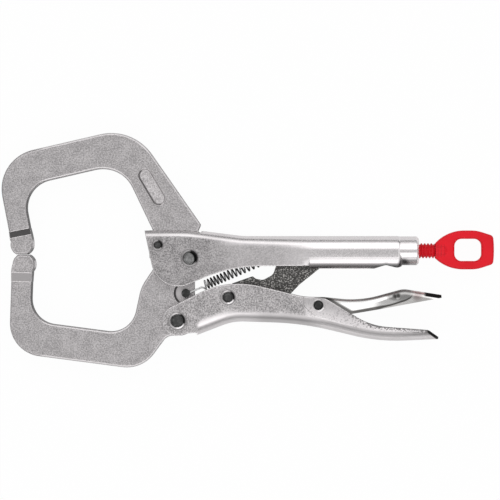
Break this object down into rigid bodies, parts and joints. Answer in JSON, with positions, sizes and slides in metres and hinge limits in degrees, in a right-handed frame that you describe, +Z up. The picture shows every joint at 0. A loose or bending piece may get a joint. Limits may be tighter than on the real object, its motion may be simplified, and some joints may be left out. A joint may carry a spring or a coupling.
{
  "type": "locking c-clamp pliers",
  "caption": "Locking C-clamp pliers with forged jaws, sheet-steel handles, a toggle link, a release lever, a return spring and a red adjusting screw with an eye.",
  "frame": {"origin": "on the main pivot's axis, in the plane of the cheeks' outer faces that the tool lies on", "axes": "+X along the handles from the jaws to the adjusting screw's eye, +Y across the handles towards the fixed jaw, +Z up along the pivot pins"},
  "size_m": [0.2802, 0.1333, 0.0154],
  "materials": {
    "sheet_nickel": "satin nickel plate on pressed steel sheet",
    "forged_nickel": "shot-blasted nickel plate on forged steel, finely grained",
    "bright_nickel": "polished nickel plate",
    "dark_pin": "dark oiled steel",
    "dark_link": "coarse dark scale",
    "spring_wire": "dark spring steel",
    "red_screw": "red coat on the thread",
    "red_eye": "satin red coat"
  },
  "bodies": {
    "upper_body": {"upper_handle": "sheet_nickel", "fixed_jaw": "forged_nickel", "jaw_lock_rivet": "dark_pin", "main_pivot_rivet": "dark_pin", "return_spring": "spring_wire"},
    "movable_jaw_body": {"movable_jaw": "forged_nickel", "spring_pin": "dark_pin"},
    "lower_handle_body": {"lower_handle": "sheet_nickel", "handle_pivot_rivet": "dark_pin", "link_rivet": "dark_pin", "lever_rivet": "dark_pin"},
    "toggle_link_body": {"toggle_link": "dark_link"},
    "release_lever_body": {"release_lever": "bright_nickel"},
    "screw_body": {"adjusting_screw": "red_screw"},
    "eye_body": {"screw_eye": "red_eye"}
  },
  "joints": [
    {"name": "jaw_pivot", "type": "hinge", "parent": "upper_body", "child": "movable_jaw_body", "pos_m": [0, 0, 0.0077], "axis": [0, 0, 1], "range_deg": [0, 20], "deforming": ["return_spring"]},
    {"name": "handle_pivot", "type": "hinge", "parent": "movable_jaw_body", "child": "lower_handle_body", "pos_m": [-0.0071, -0.0356, 0.0077], "axis": [0, 0, 1], "range_deg": [-60, 0]},
    {"name": "link_pivot", "type": "hinge", "parent": "lower_handle_body", "child": "toggle_link_body", "pos_m": [0.0217, -0.0222, 0.0077], "axis": [0, 0, 1], "range_deg": [0, 64]},
    {"name": "lever_pivot", "type": "hinge", "parent": "lower_handle_body", "child": "release_lever_body", "pos_m": [0.073, -0.0268, 0.0077], "axis": [0, 0, 1], "range_deg": [-6, 0]},
    {"name": "screw_travel", "type": "slide", "parent": "upper_body", "child": "screw_body", "axis": [1, 0, 0], "range_m": [0, 0.0342]},
    {"name": "screw_turn", "type": "hinge", "parent": "screw_body", "child": "eye_body", "pos_m": [0.1396, 0.0041, 0.0077], "axis": [1, 0, 0], "range_deg": [0, 6481]}
  ],
  "couplings": [
    {"joint": "handle_pivot", "follows": "jaw_pivot", "ratio": -2.95},
    {"joint": "link_pivot", "follows": "jaw_pivot", "ratio": 3.13},
    {"joint": "screw_turn", "follows": "screw_travel", "rad_per_m": 3306.9}
  ]
}
